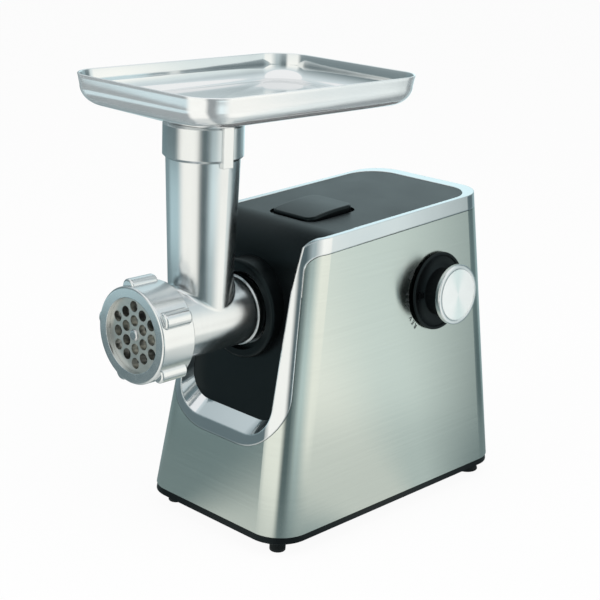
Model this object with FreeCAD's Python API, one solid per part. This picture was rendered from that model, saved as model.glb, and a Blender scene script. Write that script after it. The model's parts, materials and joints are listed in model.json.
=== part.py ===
import FreeCAD, Part
import os
from math import acos, atan, cos, degrees, pi, radians, sin, sqrt, tan

# Electric meat grinder: a tapered steel-wrapped motor body, a cast head with a ring nut and a
# cutting plate in front of it, and a tray on top. Millimetres, +Z up, -Y is the front, +X is
# the side with the knob. The model is centred over its footprint at the end.

V = FreeCAD.Vector

# Body envelope
steel_z = 18.0
base_half = 81.0
base_front = -144.5
base_back = 138.0
side_lean = 0.0733
front_lean = 0.152
back_lean = 0.103
top_z = 254.0
top_slope = 0.054
corner_r = 28.0
roll_r = 26.0
skin = 1.5
graze = 0.05
big = 320.0

# Chrome frame round the top and the front window
band = 12.4
arm_wrap = 8.2
seam = 0.4
skirt = 8.0
frame_turn_r = 14.0
window_low = 81.4
window_r = 45.0
frame_deep = 14.0
lip_in = 28.5
lip_half = base_half - lip_in
sill_w = 10.1
lip_low = window_low + sill_w
lip_r = 26.0
lip_draft = 1.0 / 6.0
sill_slope = 0.95
lip_r_slope = 1.0 / 3.0
top_in = 22.0
top_half = base_half - top_in
top_open_start = 58.5
top_open_front = base_front + top_open_start
neck_start = 32.5
neck_front = base_front + neck_start
top_open_end = 36.0
top_open_back = base_back - top_open_end
top_open_r = 27.0
frame_from = 40.0
join_drop = 49.0
frame_lap = 35.0
window_ahead = 20.0
window_deep = 24.0
window_drop = 26.0
neck_drop = 44.0
neck_step = 0.5
ahead = 30.0

# Black cover and its front panel
cover_gap = 0.3
cover_wall = 2.5
cover_drop = 0.3
panel_deep = 12.0
cover_roll = 35.0
flange_lap = 3.5
flange_half = lip_half + flange_lap
flange_drop = 0.5
flange_low = lip_low - flange_drop
flange_h = 99.0
flange_high = flange_low + flange_h
flange_wall = 2.0

# Head axis and hub
axis_z = 184.0
hub_r = 40.0
hub_stand = 25.5
hub_front = base_front + hub_stand
hub_l = 21.0
hub_back = hub_front + hub_l
hub_step_r = 33.0
hub_deep = 6.0
hub_floor = hub_front + hub_deep
hub_floor_wall = 2.0
hub_mouth_r = 28.8
hub_round = 3.0

# Release button, in the plane of the top
button_half = 23.0
button_start = 23.0
button_front = top_open_front + button_start
button_l = 52.0
button_back = button_front + button_l
button_r = 8.0
button_top = 4.4
button_low = -7.5
button_crown_r = 260.0
button_round = 2.2
button_gap = 0.5
button_travel = 4.0
recess_margin = 2.6
recess_deep = 2.5
well_wall = 2.0
well_floor = -12.0
stem_in = 5.0
stem_y = button_front + stem_in
stem_r = 2.6
spring_in = 29.0
spring_y = button_front + spring_in
spring_r = 4.2
spring_wire = 0.8
spring_turns = 5.0
spring_pocket_r = 6.0
spring_pocket_top = 1.0

# Base and feet
base_inset = 0.6
base_floor = 4.0
foot_h = 8.0
base_bevel = 4.5
base_bevel_in = 9.0
base_rim = 8.0
base_rim_wall = 3.0
base_fit = 0.05
front_foot_r = 6.5
rear_foot_r = 11.0
rear_foot_top_r = 8.0
foot_stud_r = 3.0
foot_inset = 21.0
vent_count = 7
vent_pitch = 11.0
vent_width = 4.0
vent_length = 30.0
vent_y = 70.0

# Head casting
barrel_r = 27.3
barrel_wall = 3.3
bore_r = barrel_r - barrel_wall
barrel_in = 11.0
barrel_step = hub_front + barrel_in
barrel_l = 114.0
barrel_front = barrel_step - barrel_l
spigot_step = 2.3
spigot_r = barrel_r - spigot_step
spigot_l = 13.5
spigot_end = barrel_step + spigot_l
spigot_wall = 5.0
spigot_bore_r = spigot_r - spigot_wall
rear_wall = 6.0
rear_wall_front = barrel_step - rear_wall
plate_r = 31.0
plate_fit = 0.15
thread_wall = 2.15
thread_r = plate_r + plate_fit + thread_wall
thread_l = 21.0
thread_back = barrel_front + thread_l
flare_l = 4.0
flare_back = thread_back + flare_l
rim_line_gap = 1.0
rim_line = hub_front - rim_line_gap
rim_line_w = 1.6
rim_line_h = 1.0
rim_line_r = barrel_r + rim_line_h
lug_h = 3.8
lug_r = spigot_r + lug_h
lug_gap = 3.6
lug_front = barrel_step + lug_gap
lug_w = 4.8
lug_back = lug_front + lug_w
lug_arc = 36.0
lug_count = 3
tube_in = 64.0
tube_y = barrel_front + tube_in
tube_top_r = 28.0
tube_low_r = 24.4
tube_top_wall = 2.6
tube_top_bore = tube_top_r - tube_top_wall
tube_low_wall = 3.4
tube_low_bore = tube_low_r - tube_low_wall
collar_proud = 2.4
collar_r = tube_top_r + collar_proud
collar_h = 26.5
tube_rise = 152.5
collar_top = axis_z + tube_rise
collar_chamfer = 2.0
collar_lead = 1.8
collar_wall = 3.4
collar_bore = collar_r - collar_wall
key_w = 9.0
key_turn = -7.0
key_proud = 1.3
key_drop = 3.4
joint_fillet = 4.0
plate_pin_r = 1.5

# Screw, knife, plate and ring nut
plate_t = 5.6
plate_proud = 0.3
plate_front = barrel_front - plate_proud
plate_bore_r = 4.58
plate_hole_r = 4.2
plate_pitch = 10.9
plate_turn = 33.0
nut_lip = 3.7
nut_front = plate_front - nut_lip
nut_w = 30.0
nut_back = nut_front + nut_w
nut_wall = 3.7
nut_r = thread_r + nut_wall
nut_lip_in = 2.3
nut_open_r = plate_r - nut_lip_in
nut_thread_gap = 0.35
nut_lip_gap = 0.05
lobe_r = 6.5
lobe_sink = 1.4
lobe_at = nut_r - lobe_sink
lobe_count = 5
lobe_first = 30.0
lobe_start = 3.0
lobe_front = nut_front + lobe_start
lobe_end = 2.5
lobe_back = nut_back - lobe_end
auger_gap = 0.9
auger_r = bore_r - auger_gap
auger_core_front = 10.0
auger_core_back = 13.0
knife_t = 5.0
knife_gap = 0.7
auger_front = plate_front + plate_t + knife_t + knife_gap
auger_rear_gap = 5.0
auger_back = rear_wall_front - auger_rear_gap
auger_pitch = 42.0
flight_w = 6.0
flight_taper = 1.4
auger_pin_r = 4.5
auger_pin_round = 1.6
auger_pin_proud = 1.6
auger_pin_end = plate_front - auger_pin_proud
journal_r = 10.0
shank_half = 6.5
knife_square = 6.1
knife_corner_r = 7.6
knife_tip_gap = 1.4
knife_r = bore_r - knife_tip_gap
bush_wall = 4.0
run_fit = 0.06

# Tray
tray_half = 79.0
tray_ahead = 68.5
tray_front = tube_y - tray_ahead
tray_behind = 162.0
tray_back = tube_y + tray_behind
tray_wall_h = 7.0
tray_wall_in = 1.6
tray_corner = 26.0
tray_bend = 16.5
tray_bend_deg = 72.0
tray_bend_steps = 8
tray_t = 1.4
throat_gap = 0.5
tray_throat_z = collar_top + throat_gap
tray_rise = 31.3
tray_rim = tray_throat_z + tray_rise
spout_gap = 0.6
spout_r = collar_bore - spout_gap
spout_deep = 25.5
spout_low = collar_top - spout_deep

# Socket, latch and gear train
groove_ease = 0.5
groove_r = lug_r + groove_ease
socket_wall = 6.7
socket_r = groove_r + socket_wall
socket_gap = 0.4
socket_front = hub_floor + hub_floor_wall + socket_gap
spigot_gap = 2.5
gearbox_front = spigot_end + spigot_gap
socket_ease = 0.9
socket_bore = barrel_r + socket_ease
slot_turn = 45.0
latch_w = 10.0
latch_t = 0.8
latch_ahead = 5.0
latch_y = gearbox_front - latch_ahead
latch_tip_up = 21.5
latch_tip = axis_z + latch_tip_up
latch_room = 1.2
latch_lift = 0.3
ridge_h = 5.0
ridge_start = 12.0
ridge_front = gearbox_front + ridge_start
ridge_w = 8.0
ridge_back = ridge_front + ridge_w
gear_wall = 3.2
gearbox_half = 46.0
gearbox_below = 92.0
gearbox_low = axis_z - gearbox_below
gearbox_above = 42.0
gearbox_high = axis_z + gearbox_above
gearbox_l = 40.0
gearbox_back = gearbox_front + gearbox_l
gearbox_plate = 6.0
gearbox_round = 8.0
m_out = 1.25
n_out = 60
n_idler_pinion = 9
m_motor = 1.0
n_idler = 64
n_motor_pinion = 8
pressure = 25.0
addendum = 0.8
dedendum = 1.15
tooth_slack = 0.12
out_gear_in = 8.0
out_gear_front = gearbox_front + out_gear_in
out_gear_w = 12.0
idler_gear_in = 14.0
idler_gear_front = gearbox_back - idler_gear_in
idler_gear_w = 8.0
pinion_extra = 1.0
out_shaft_r = 8.0
coupling_r = 13.0
coupling_l = 13.0
coupling_front = gearbox_front - coupling_l
idler_shaft_r = 4.0
gear_bush_wall = 4.0

# Motor
stack_half = 38.0
stack_gap = 18.0
stack_front = gearbox_back + stack_gap
stack_l = 60.0
stack_back = stack_front + stack_l
pole_bore = 23.0
air_gap = 0.6
motor_shaft_r = 4.0
rod_in = 6.0
rod_at = stack_half - rod_in
rod_r = 2.5
spacer_r = 4.5
rear_frame_gap = 20.0
rear_frame_front = stack_back + rear_frame_gap
rear_frame_w = 6.0
coil_gap = 1.0
coil_in = pole_bore + coil_gap
coil_h = 11.0
coil_out = coil_in + coil_h
coil_front_w = 8.0
coil_back_w = 7.0
coil_span = 130.0
winding_gap = 4.0
winding_r = pole_bore - winding_gap
winding_w = 6.0
commutator_r = 12.0
commutator_gap = 8.0
commutator_front = stack_back + commutator_gap
commutator_l = 11.0
commutator_back = commutator_front + commutator_l
brush_gap = 0.06
brush_half_y = 4.0
brush_half_z = 3.0
brush_end = 26.0
holder_end = 32.0
holder_wall = 2.0
fan_r = 33.0
fan_gap = 5.0
fan_front = rear_frame_front + rear_frame_w + fan_gap
fan_w = 10.0
fan_blades = 9
cradle_half = stack_half
cradle_rib = 6.0
cradle_floor = 7.0
plate_reach = 120.0
motor_plate_low = axis_z - plate_reach

# Knob and switch, on the outward normal of the +X side
knob_y = 44.9
knob_z = 184.8
skirt_r = 32.8
skirt_low = 0.7
skirt_rim = 3.9
skirt_low_r = 27.0
skirt_wall = 3.2
dish_r = skirt_r - skirt_wall
bowl_r = 24.4
bowl_low = 1.9
bowl_end = 4.4
neck_r = 20.0
cap_r = 25.0
cap_low = 19.0
cap_h = 4.4
cap_top = cap_low + cap_h
cap_disc_r = 21.6
cap_groove = 0.6
cap_round = 1.2
pointer_out = 27.0
pointer_w = 5.0
pointer_h = 2.6
knob_shaft_r = 3.0
switch_half = 16.0
switch_deep = 20.0
switch_bush_r = 6.0

# Electrics
board_half = 42.0
board_in = 46.0
board_front = base_back - board_in
board_l = 34.0
board_back = board_front + board_l
post_h = 12.0
board_z = foot_h + base_floor + post_h
board_t = 1.6
post_r = 3.0
capacitor_r = 7.0
capacitor_h = 24.0
choke_r = 9.0
inlet_x = -34.0
inlet_z = 44.0
inlet_r = 9.0
inlet_hole_r = 4.2
inlet_flange_r = 12.5
inlet_flange_w = 2.5
screw_r = 1.8
screw_head_r = 3.6
screw_head_h = 2.2

lean_deg = degrees(atan(front_lean))
top_deg = degrees(atan(top_slope))
side_deg = degrees(atan(side_lean))
back_deg = degrees(atan(back_lean))
idler_z = axis_z - m_out * (n_out + n_idler_pinion) / 2
motor_z = idler_z - m_motor * (n_idler + n_motor_pinion) / 2


def cyl(r, y0, y1, x=0.0, z=0.0):
    """Cylinder along Y."""
    return Part.makeCylinder(r, y1 - y0, V(x, y0, z), V(0, 1, 0))


def cone(r0, r1, y0, y1, x=0.0, z=0.0):
    return Part.makeCone(r0, r1, y1 - y0, V(x, y0, z), V(0, 1, 0))


def tube(r_out, r_in, y0, y1, x=0.0, z=0.0):
    return cyl(r_out, y0, y1, x, z).cut(cyl(r_in, y0, y1, x, z))


def post(r, z0, z1, x=0.0, y=0.0):
    """Cylinder along Z."""
    return Part.makeCylinder(r, z1 - z0, V(x, y, z0), V(0, 0, 1))


def box(x0, x1, y0, y1, z0, z1):
    return Part.makeBox(x1 - x0, y1 - y0, z1 - z0, V(x0, y0, z0))


def face_of(points):
    return Part.Face(Part.makePolygon(points + points[:1]))


def prism_x(points, half):
    """Prism of a side view, given as (y, z) points."""
    return face_of([V(-half, y, z) for y, z in points]).extrude(V(2 * half, 0, 0))


def edges_along(shape, axis, test):
    """Straight edges of a shape along an axis whose middle passes a test."""
    found = []
    for e in shape.Edges:
        a = e.Vertexes[0].Point
        b = e.Vertexes[-1].Point
        d = b.sub(a)
        if d.Length > 0.01 and abs(d.dot(axis)) > 0.999 * d.Length and test((a + b) * 0.5):
            found.append(e)
    return found


def round_rect(half, y0, y1, r, z):
    """Rounded rectangle in a level plane, as a wire of eight edges."""
    h = r * (1 - sqrt(0.5))
    x1 = half
    pts = [
        (V(-x1 + r, y0, z), V(x1 - r, y0, z), V(x1 - h, y0 + h, z)),
        (V(x1, y0 + r, z), V(x1, y1 - r, z), V(x1 - h, y1 - h, z)),
        (V(x1 - r, y1, z), V(-x1 + r, y1, z), V(-x1 + h, y1 - h, z)),
        (V(-x1, y1 - r, z), V(-x1, y0 + r, z), V(-x1 + h, y0 + h, z)),
    ]
    edges = []
    for i in range(4):
        start, end, bend = pts[i]
        after = pts[(i + 1) % 4][0]
        edges.append(Part.LineSegment(start, end).toShape())
        edges.append(Part.Arc(end, bend, after).toShape())
    return Part.Wire(edges)


def slab(half, y0, y1, r, z0, z1):
    return Part.Face(round_rect(half, y0, y1, r, z0)).extrude(V(0, 0, z1 - z0))


def half_width(z, grow=0.0):
    return base_half - side_lean * (z - steel_z) + grow


def front_y(z, grow=0.0):
    return base_front + front_lean * (z - steel_z) - grow


def back_y(z, grow=0.0):
    return base_back - back_lean * (z - steel_z) + grow


def top_line(y, drop=0.0):
    return top_z + top_slope * y - drop


def in_front(shape):
    """From the leaning front plane's frame, depth along +Y, to the model."""
    shape.rotate(V(0, 0, 0), V(1, 0, 0), -lean_deg)
    shape.translate(V(0, front_y(0.0), 0))
    return shape


def on_top(shape):
    """From the sloping top plane's frame to the model."""
    shape.rotate(V(0, 0, 0), V(1, 0, 0), top_deg)
    shape.translate(V(0, 0, top_z))
    return shape


def on_side(shape):
    """From the knob's frame, +Z outward, to the model."""
    shape.rotate(V(0, 0, 0), V(0, 1, 0), 90 - side_deg)
    shape.translate(V(half_width(knob_z), knob_y, knob_z))
    return shape


def on_back(shape):
    """From the cord inlet's frame, +Z outward, to the model."""
    shape.rotate(V(0, 0, 0), V(1, 0, 0), -(90 - back_deg))
    shape.translate(V(inlet_x, back_y(inlet_z), inlet_z))
    return shape


def tapered(z0, z1, grow, r):
    """The body's four leaning sides with rounded corners."""
    pts = [(front_y(z0, grow), z0), (back_y(z0, grow), z0), (back_y(z1, grow), z1), (front_y(z1, grow), z1)]
    block = prism_x(pts, big)
    low = z0 - 5.0
    high = z1 + 5.0
    w0 = half_width(low, grow)
    w1 = half_width(high, grow)
    sides = face_of([V(-w0, -big, low), V(w0, -big, low), V(w1, -big, high), V(-w1, -big, high)])
    block = block.common(sides.extrude(V(0, 2 * big, 0)))
    tall = [e for e in block.Edges if e.BoundBox.ZLength > 0.9 * (z1 - z0)]
    return block.makeFillet(r, tall)


def under_top(deep, drop, r):
    """Side view of the body below its top: leaning front, roll, sloping top."""
    low = -20.0
    y_low = front_y(low) + deep
    y_high = front_y(big) + deep
    slope = (y_high - y_low) / (big - low)
    y_edge = (y_low + slope * (top_z - drop - low)) / (1 - slope * top_slope)
    pts = [(y_low, low), (y_edge, top_line(y_edge, drop)), (big, top_line(big, drop)), (big, low)]
    solid = prism_x(pts, big)
    edge = edges_along(solid, V(1, 0, 0), lambda m: abs(m.y - y_edge) < 0.01)
    return solid.makeFillet(r, edge)


def envelope(grow, r, z0=steel_z):
    return tapered(z0, big, grow, r).common(under_top(graze - grow, -grow, roll_r + grow))


def frame_zone(grow):
    """Region of the outer surface that is chrome, widened by grow."""
    drop = band + grow
    wrap = arm_wrap + grow
    low = top_z - join_drop
    y0 = front_y(0.0) + wrap
    y_turn = (y0 + front_lean * (top_z - drop)) / (1 - front_lean * top_slope)
    pts = [(big, top_line(big, drop)), (y_turn, top_line(y_turn, drop)), (y0 + front_lean * low, low)]
    pts += [(-big, low), (-big, big), (big, big)]
    upper = prism_x(pts, big)
    turn = edges_along(upper, V(1, 0, 0), lambda m: abs(m.y - y_turn) < 0.01)
    upper = upper.makeFillet(frame_turn_r, turn)
    s0 = window_low - grow
    s1 = low + frame_lap
    w0 = half_width(s0) - arm_wrap + grow
    w1 = half_width(s1) - arm_wrap + grow
    lower = face_of([V(-w0, -ahead, s0), V(w0, -ahead, s0), V(w1, -ahead, s1), V(-w1, -ahead, s1)])
    lower = lower.extrude(V(0, ahead + frame_deep, 0))
    corners = edges_along(lower, V(0, 1, 0), lambda m: m.z < s0 + 1.0)
    lower = lower.makeFillet(window_r + grow, corners)
    return upper.fuse(in_front(lower))


def window(grow):
    """The opening inside the chrome frame: the front window and the top."""
    wires = []
    for deep in (-window_ahead, window_deep):
        w = lip_half - lip_draft * deep + grow
        s = lip_low + sill_slope * deep - grow
        r = lip_r - lip_r_slope * deep + grow
        h = r * (1 - sqrt(0.5))
        s1 = top_z - window_drop
        a = V(-w, deep, s1)
        b = V(-w, deep, s + r)
        c = V(-w + r, deep, s)
        d = V(w - r, deep, s)
        e = V(w, deep, s + r)
        f = V(w, deep, s1)
        edges = [
            Part.LineSegment(a, b).toShape(),
            Part.Arc(b, V(-w + h, deep, s + h), c).toShape(),
            Part.LineSegment(c, d).toShape(),
            Part.Arc(d, V(w - h, deep, s + h), e).toShape(),
            Part.LineSegment(e, f).toShape(),
            Part.LineSegment(f, a).toShape(),
        ]
        wires.append(Part.Wire(edges))
    front = in_front(Part.makeLoft(wires, True, True))
    neck = lip_half - neck_step + grow
    wide = top_half + grow
    z0 = top_z - neck_drop
    pts = [V(-neck, -big, z0), V(neck, -big, z0), V(neck, neck_front, z0), V(wide, top_open_front, z0)]
    pts += [V(wide, top_open_back + grow, z0), V(-wide, top_open_back + grow, z0)]
    pts += [V(-wide, top_open_front, z0), V(-neck, neck_front, z0)]
    top = face_of(pts).extrude(V(0, 0, big - z0))
    back = edges_along(top, V(0, 0, 1), lambda m: m.y > 0)
    top = top.makeFillet(top_open_r + grow, back)
    return front.fuse(top)


def steel_wrap():
    shell = envelope(0.0, corner_r).cut(envelope(-skin, corner_r - skin, 0.0))
    shell = shell.cut(frame_zone(seam))
    shell = shell.cut(on_side(Part.makeCylinder(switch_bush_r + 0.3, 20, V(0, 0, -10))))
    return shell.cut(on_back(Part.makeCylinder(inlet_r, 20, V(0, 0, -10))))


def chrome_frame():
    outer = envelope(0.0, corner_r, frame_from).common(frame_zone(0.0))
    inner = envelope(-skin, corner_r + 2.0, frame_from).common(frame_zone(skirt))
    return outer.fuse(inner).cut(window(0.0)).removeSplitter()


def cover():
    """Black top that rolls down into the front panel, with the hub and the button's well."""
    shell = under_top(panel_deep, cover_drop, cover_roll)
    shell = shell.cut(under_top(panel_deep + cover_wall, cover_drop + cover_wall, cover_roll - cover_wall))
    shell = shell.common(window(-cover_gap)).common(box(-big, big, -big, top_open_back, 0, big))
    flange = box(-flange_half, flange_half, frame_deep, frame_deep + flange_wall, flange_low, flange_high)
    flange = in_front(flange)
    shell = shell.fuse(flange).fuse(cyl(hub_r, hub_front, hub_back, 0, axis_z))
    shell = shell.cut(cyl(hub_step_r, hub_front - 1, hub_floor, 0, axis_z))
    shell = shell.cut(cyl(hub_mouth_r, hub_front - 1, hub_back + 1, 0, axis_z))
    shell = shell.cut(cyl(socket_r + 0.6, hub_floor + hub_floor_wall, hub_back + 20, 0, axis_z))
    edge = [e for e in shell.Edges if is_hub_edge(e)]
    shell = shell.makeFillet(hub_round, edge)
    w = button_half + button_gap
    y0 = button_front - button_gap
    y1 = button_back + button_gap
    m = recess_margin
    well = slab(w + well_wall, y0 - well_wall, y1 + well_wall, button_r + 2.5, well_floor - well_wall, -1.0)
    recess = slab(w + m, y0 - m, y1 + m, button_r + 3.0, -recess_deep, 20.0)
    inside = slab(w, y0, y1, button_r + button_gap, well_floor, 20.0)
    shell = shell.fuse(on_top(well)).cut(on_top(recess)).cut(on_top(inside))
    hole = post(stem_r + 0.4, well_floor - 5, well_floor + 5, 0, stem_y)
    nipple = post(spring_r - spring_wire - 0.3, well_floor - 0.5, well_floor + 3.0, 0, spring_y)
    return shell.cut(on_top(hole)).fuse(on_top(nipple)).removeSplitter()


def is_hub_edge(e):
    """The hub ring's two front edges, which are rounded."""
    if not hasattr(e.Curve, "Radius"):
        return False
    return abs(e.Curve.Radius - hub_r) < 0.01 and abs(e.BoundBox.Center.y - hub_front) < 0.01


def release_button():
    w = button_half
    body = slab(w, button_front, button_back, button_r, button_low, button_top + 4.0)
    crest = button_back - 14.0
    crown_z = button_top - button_crown_r
    crown = Part.makeCylinder(button_crown_r, 2 * big, V(-big, crest, crown_z), V(1, 0, 0))
    flat = box(-big, big, crest, big, -20, button_top)
    body = body.common(crown.fuse(flat))
    rim = [e for e in body.Edges if e.BoundBox.ZMin > 0.5]
    body = body.makeFillet(button_round, rim)
    body = body.cut(post(spring_pocket_r, button_low - 1, spring_pocket_top, 0, spring_y))
    # the stem stops just short of the latch at rest
    reach = (gearbox_high + ridge_h + latch_t + 0.4 - top_line(stem_y)) / cos(radians(top_deg))
    stem = post(stem_r, reach, button_low + 1.0, 0, stem_y)
    return on_top(body.fuse(stem))


def button_spring():
    h = spring_pocket_top - well_floor - spring_wire
    helix = Part.makeHelix(h / spring_turns, h, spring_r)
    ring = Part.Wire(Part.makeCircle(spring_wire / 2, V(spring_r, 0, 0), V(0, 1, 0)))
    coil = Part.Wire(helix).makePipeShell([ring], True, True)
    coil.translate(V(0, spring_y, well_floor + spring_wire / 2))
    return on_top(coil)


def base_plate():
    z0 = foot_h
    outer = tapered(z0, steel_z, -base_inset, corner_r)
    low = [e for e in outer.Edges if e.BoundBox.ZMax < z0 + 0.01]
    outer = outer.makeChamfer(base_bevel_in, base_bevel, low)
    rim = tapered(steel_z - 1.0, steel_z + base_rim, -skin - base_fit, corner_r + 2.0)
    inner = tapered(z0 + base_floor, steel_z + base_rim, -skin - base_rim_wall, corner_r - 3.0)
    plate = outer.fuse(rim).cut(inner)
    for x, y in foot_places():
        plate = plate.cut(post(foot_stud_r, 0, steel_z, x, y))
    for x, y in cradle_screws():
        plate = plate.cut(post(screw_r, 0, steel_z, x, y))
        plate = plate.cut(post(screw_head_r + 0.4, 0, z0 + screw_head_h - 0.6, x, y))
    for x, y in board_posts():
        plate = plate.fuse(post(post_r, z0 + base_floor - 1.0, board_z, x, y))
    for i in range(vent_count):
        x = (i - (vent_count - 1) / 2) * vent_pitch
        cut = box(x - vent_width / 2, x + vent_width / 2, vent_y - vent_length, vent_y, 0, steel_z)
        plate = plate.cut(cut)
    return plate.removeSplitter()


def foot_places():
    """Front pair first, then the rear pair."""
    x = half_width(foot_h) - foot_inset
    y0 = front_y(foot_h) + foot_inset
    y1 = back_y(foot_h) - foot_inset
    return [(-x, y0), (x, y0), (-x, y1), (x, y1)]


def cradle_screws():
    return [(x, y) for x in (-cradle_half + 7, cradle_half - 7) for y in (stack_front + 12, stack_back - 12)]


def board_posts():
    return [(x, y) for x in (-board_half + 6, board_half - 6) for y in (board_front + 6, board_back - 6)]


def front_feet():
    feet = []
    for x, y in foot_places()[:2]:
        pad = post(front_foot_r, 0, foot_h, x, y)
        pad = pad.makeFillet(1.0, [e for e in pad.Edges if e.BoundBox.ZMax < 0.1])
        feet.append(pad.fuse(post(foot_stud_r, foot_h - 1, foot_h + base_floor, x, y)))
    return Part.makeCompound(feet)


def rear_feet():
    feet = []
    for x, y in foot_places()[2:]:
        pad = Part.makeCone(rear_foot_r, rear_foot_top_r, foot_h, V(x, y, 0))
        pad = pad.makeFillet(1.0, [e for e in pad.Edges if e.BoundBox.ZMax < 0.1])
        feet.append(pad.fuse(post(foot_stud_r, foot_h - 1, foot_h + base_floor, x, y)))
    return Part.makeCompound(feet)


def base_screws():
    screws = []
    z0 = foot_h + screw_head_h - 0.6
    for x, y in cradle_screws():
        head = post(screw_head_r, z0 - screw_head_h, z0, x, y)
        drive = box(x - 2.4, x + 2.4, y - 0.5, y + 0.5, z0 - screw_head_h, z0 - screw_head_h + 1.0)
        cross = box(x - 0.5, x + 0.5, y - 2.4, y + 2.4, z0 - screw_head_h, z0 - screw_head_h + 1.0)
        top = foot_h + base_floor + cradle_floor - 1.0
        screws.append(head.cut(drive).cut(cross).fuse(post(screw_r, z0 - 0.5, top, x, y)))
    return Part.makeCompound(screws)


def motor_cradle():
    z0 = foot_h + base_floor
    z1 = motor_z - stack_half
    w = cradle_half
    saddle = box(-w, w, stack_front + 4, stack_back - 4, z0, z0 + cradle_floor)
    for y in (stack_front + 4, stack_back - 4 - cradle_rib):
        rib = box(-w, w, y, y + cradle_rib, z0, z1)
        saddle = saddle.fuse(rib.cut(cyl(15, y - 1, y + cradle_rib + 1, 0, (z0 + z1) / 2)))
    for x, y in cradle_screws():
        saddle = saddle.cut(post(screw_r, z0 - 1, z0 + cradle_floor - 1.0, x, y))
    return saddle.removeSplitter()


def tooth_points(n, m):
    """Half a tooth's flank from root to tip: radius and angle from the tooth's middle."""
    r = m * n / 2
    rb = r * cos(radians(pressure))
    ra = r + addendum * m
    rf = r - dedendum * m
    inv = tan(radians(pressure)) - radians(pressure)
    half = pi / (2 * n) - tooth_slack / (2 * r)
    start = max(rb, rf)
    flank = []
    for i in range(4):
        q = start + (ra - start) * i / 3
        a = acos(min(1.0, rb / q))
        flank.append((q, half + inv - (tan(a) - a)))
    if rb > rf:
        flank.insert(0, (rf, flank[0][1]))
    return flank


def gear(n, m, y0, width, z, turn, bore):
    """Spur gear along Y, with a tooth's middle at the angle turn from +X towards +Z."""
    flank = tooth_points(n, m)
    pts = []
    for k in range(n):
        mid = turn + 2 * pi * k / n
        for q, a in flank:
            pts.append(V(q * cos(mid - a), y0, z + q * sin(mid - a)))
        for q, a in reversed(flank):
            pts.append(V(q * cos(mid + a), y0, z + q * sin(mid + a)))
    solid = face_of(pts).extrude(V(0, width, 0))
    if bore > 0:
        solid = solid.cut(cyl(bore, y0 - 1, y0 + width + 1, 0, z))
    return solid


def output_gear():
    # a gap between two teeth looks down at the idler's pinion
    turn = -pi / 2 + pi / n_out
    wheel = gear(n_out, m_out, out_gear_front, out_gear_w, axis_z, turn, out_shaft_r)
    groove = tube(30.0, 15.0, out_gear_front - 1, out_gear_front + 3, 0, axis_z)
    return wheel.cut(groove)


def output_shaft():
    head = cyl(coupling_r, coupling_front, gearbox_front - 0.6, 0, axis_z)
    shaft = head.fuse(cyl(out_shaft_r, gearbox_front - 1.0, gearbox_back + gearbox_plate, 0, axis_z))
    s = shank_half
    hole = box(-s, s, coupling_front - 1, gearbox_front - 2.6, axis_z - s, axis_z + s)
    return shaft.cut(hole).removeSplitter()


def idler_pinion():
    """Small gear cut on the idler's shaft, with a tooth pointing up at the output gear."""
    y0 = out_gear_front - pinion_extra
    teeth = gear(n_idler_pinion, m_out, y0, out_gear_w + 2 * pinion_extra, idler_z, pi / 2, 0)
    return teeth.fuse(cyl(idler_shaft_r, gearbox_front + 0.5, gearbox_back + gearbox_plate - 0.5, 0, idler_z))


def idler_gear():
    # a gap between two teeth looks down at the motor's pinion
    turn = -pi / 2 + pi / n_idler
    wheel = gear(n_idler, m_motor, idler_gear_front, idler_gear_w, idler_z, turn, idler_shaft_r)
    hub = tube(8.0, idler_shaft_r, idler_gear_front - 3, idler_gear_front, 0, idler_z)
    return wheel.fuse(hub)


def rotor_shaft():
    """Motor shaft with its pinion cut on the front end, a tooth pointing up."""
    y0 = idler_gear_front - pinion_extra
    y1 = idler_gear_front + idler_gear_w + pinion_extra
    teeth = gear(n_motor_pinion, m_motor, y0, y1 - y0 + 1.0, motor_z, pi / 2, 0)
    return teeth.fuse(cyl(motor_shaft_r, y1, fan_front + fan_w + 1, 0, motor_z))


def gearbox_housing():
    w = gearbox_half
    outer = box(-w, w, gearbox_front, gearbox_back, gearbox_low, gearbox_high)
    outer = outer.makeFillet(gearbox_round, edges_along(outer, V(0, 1, 0), lambda m: True))
    t = gear_wall
    room = box(-w + t, w - t, gearbox_front + t, gearbox_back + 1, gearbox_low + t, gearbox_high - t)
    room = room.makeFillet(gearbox_round - t, edges_along(room, V(0, 1, 0), lambda m: True))
    boss = cyl(out_shaft_r + gear_bush_wall + 4, gearbox_front, gearbox_front + t + 2, 0, axis_z)
    boss = boss.fuse(cyl(idler_shaft_r + 4, gearbox_front, gearbox_front + t + 2, 0, idler_z))
    half = latch_w / 2
    ridge = box(-half, half, ridge_front, ridge_back, gearbox_high - 1.0, gearbox_high + ridge_h)
    body = outer.cut(room).fuse(boss).fuse(ridge)
    body = body.cut(cyl(out_shaft_r + gear_bush_wall, gearbox_front - 1, gearbox_front + 10, 0, axis_z))
    body = body.cut(cyl(idler_shaft_r + run_fit, gearbox_front - 1, gearbox_front + 10, 0, idler_z))
    for x, z in gearbox_screw_places():
        ear = box(x - 5, x + 5, gearbox_back - 14, gearbox_back, z - 5, z + 5)
        body = body.fuse(ear.common(outer)).cut(cyl(screw_r, gearbox_back - 10, gearbox_back + 1, x, z))
    return body.removeSplitter()


def gearbox_screw_places():
    w = gearbox_half - 6.5
    return [(x, z) for x in (-w, w) for z in (gearbox_low + 6.5, gearbox_high - 6.5)]


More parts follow.
